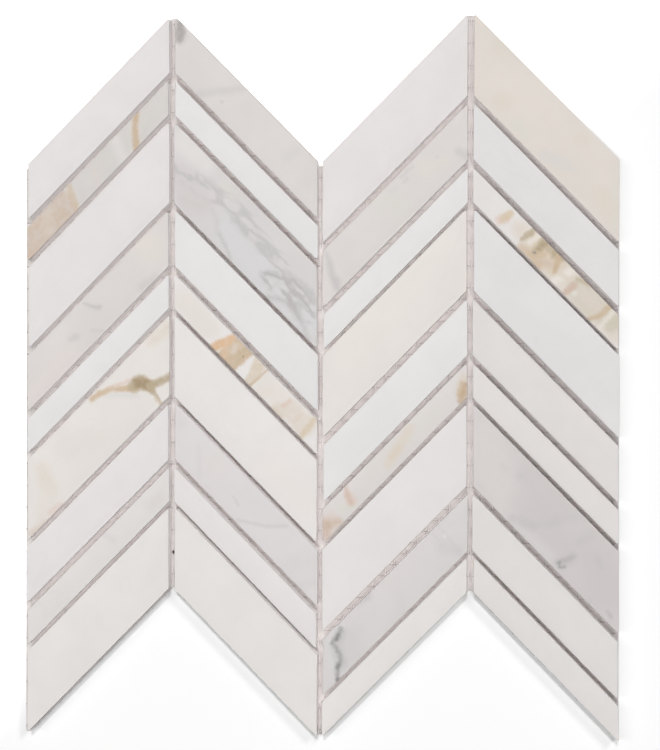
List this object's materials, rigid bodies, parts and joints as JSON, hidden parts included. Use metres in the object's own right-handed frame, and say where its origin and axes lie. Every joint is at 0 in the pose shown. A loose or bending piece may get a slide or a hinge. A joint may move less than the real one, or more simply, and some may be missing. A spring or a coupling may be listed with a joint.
{
  "type": "chevron wall tile",
  "caption": "Mosaic wall tile sheet of pale marble strips in mixed widths, laid as a chevron with open joints on a woven mesh backing.",
  "frame": {"origin": "middle of the sheet's outline, on the back of the mesh", "axes": "+Z out of the stone face, +Y along the columns towards the sheet's top, +X to the right seen from the front"},
  "size_m": [0.3078, 0.3718, 0.01],
  "materials": {
    "marble_white": "satin",
    "marble_cream": "satin",
    "marble_grey": "satin",
    "marble_gold": "satin",
    "mesh": "matte"
  },
  "bodies": {
    "root": {"mesh_backing": "mesh", "column1_strip1_medium": "marble_white", "column1_strip2_narrow": "marble_gold", "column1_strip3_wide": "marble_white", "column1_strip4_medium": "marble_grey", "column1_strip5_narrow": "marble_white", "column1_strip6_wide": "marble_cream", "column1_strip7_medium": "marble_white", "column1_strip8_narrow": "marble_grey", "column1_strip9_wide": "marble_white", "column2_strip1_medium": "marble_cream", "column2_strip2_narrow": "marble_white", "column2_strip3_wide": "marble_grey", "column2_strip4_medium": "marble_white", "column2_strip5_narrow": "marble_gold", "column2_strip6_wide": "marble_white", "column2_strip7_medium": "marble_grey", "column2_strip8_narrow": "marble_white", "column2_strip9_wide": "marble_cream", "column3_strip1_wide": "marble_white", "column3_strip2_medium": "marble_grey", "column3_strip3_narrow": "marble_white", "column3_strip4_wide": "marble_cream", "column3_strip5_medium": "marble_white", "column3_strip6_narrow": "marble_gold", "column3_strip7_wide": "marble_white", "column3_strip8_medium": "marble_grey", "column3_strip9_narrow": "marble_white", "column4_strip1_wide": "marble_cream", "column4_strip2_medium": "marble_white", "column4_strip3_narrow": "marble_gold", "column4_strip4_wide": "marble_white", "column4_strip5_medium": "marble_white", "column4_strip6_narrow": "marble_white", "column4_strip7_wide": "marble_grey", "column4_strip8_medium": "marble_white", "column4_strip9_narrow": "marble_grey"}
  },
  "joints": []
}
